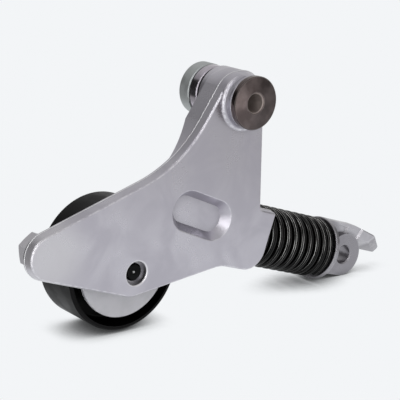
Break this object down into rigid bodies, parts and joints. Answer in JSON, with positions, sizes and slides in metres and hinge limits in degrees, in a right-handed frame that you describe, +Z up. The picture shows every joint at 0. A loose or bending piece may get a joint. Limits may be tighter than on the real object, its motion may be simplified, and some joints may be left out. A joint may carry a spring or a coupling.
{
  "type": "v-belt tensioner",
  "caption": "Swinging die-cast arm with a flat idler pulley, pushed by a hydraulic strut inside a coil spring; keeps an engine's accessory belt tight.",
  "frame": {"origin": "on the axis of the pivot bore, in the plane of the arm's front face", "axes": "+Y along the pivot axis towards the engine, +Z up with the arm hanging below the pivot, +X towards the strut's lower end"},
  "size_m": [0.2795, 0.0539, 0.1389],
  "materials": {
    "cast_arm": "die-cast, fine blasted, satin",
    "cast_strut": "die-cast, fine blasted, satin",
    "phosphated_steel": "turned and dark phosphated",
    "turned_steel": "turned",
    "bearing_steel": "ground",
    "shield_steel": "pressed, zinc plated, matte",
    "rod_chrome": "hard chrome",
    "bronze": "plain bearing bronze",
    "rubber": "moulded, matte",
    "pulley_black": "black e-coat, satin",
    "black_bolt": "black zinc flake",
    "spring_black": "black enamel, glossy",
    "cage_plastic": "moulded"
  },
  "bodies": {
    "pivot": {"pivot_sleeve": "phosphated_steel", "retainer_ring": "turned_steel", "rear_spacer": "turned_steel"},
    "arm": {"tensioner_arm": "cast_arm", "front_bush": "bronze", "rear_bush": "bronze", "front_seal": "rubber", "rear_seal": "rubber", "pulley_bolt": "black_bolt", "bearing_sleeve": "turned_steel", "bearing_inner_ring": "bearing_steel", "dust_shield": "shield_steel", "strut_pin": "black_bolt", "pin_washer": "turned_steel"},
    "pulley": {"pulley_shell": "pulley_black", "bearing_outer_ring": "bearing_steel", "bearing_balls": "bearing_steel", "bearing_cage": "cage_plastic", "bearing_seal_front": "rubber", "bearing_seal_back": "rubber"},
    "strut": {"upper_mount": "cast_strut", "eye_bush": "bronze", "damper_tube": "turned_steel", "rod_guide": "turned_steel", "rod_seal": "rubber", "coil_spring": "spring_black"},
    "strut_rod": {"lower_mount": "cast_strut", "plunger_rod": "rod_chrome", "damper_piston": "turned_steel", "valve_cage": "turned_steel", "valve_ball": "bearing_steel"}
  },
  "joints": [
    {"name": "arm_swing", "type": "hinge", "parent": "pivot", "child": "arm", "pos_m": [0, 0, 0], "axis": [0, -1, 0], "range_deg": [-12, 12]},
    {"name": "pulley_spin", "type": "hinge", "parent": "arm", "child": "pulley", "pos_m": [-0.0688, 0.026, -0.0869], "axis": [0, 1, 0], "continuous": true},
    {"name": "strut_swing", "type": "hinge", "parent": "arm", "child": "strut", "pos_m": [-0.0196, 0.026, -0.0712], "axis": [0, -1, 0], "range_deg": [-10, 10]},
    {"name": "strut_slide", "type": "slide", "parent": "strut", "child": "strut_rod", "axis": [-0.9537, 0, 0.3007], "range_m": [0, 0.01], "stiffness_N_per_m": 13200, "deforming": ["coil_spring"]}
  ]
}
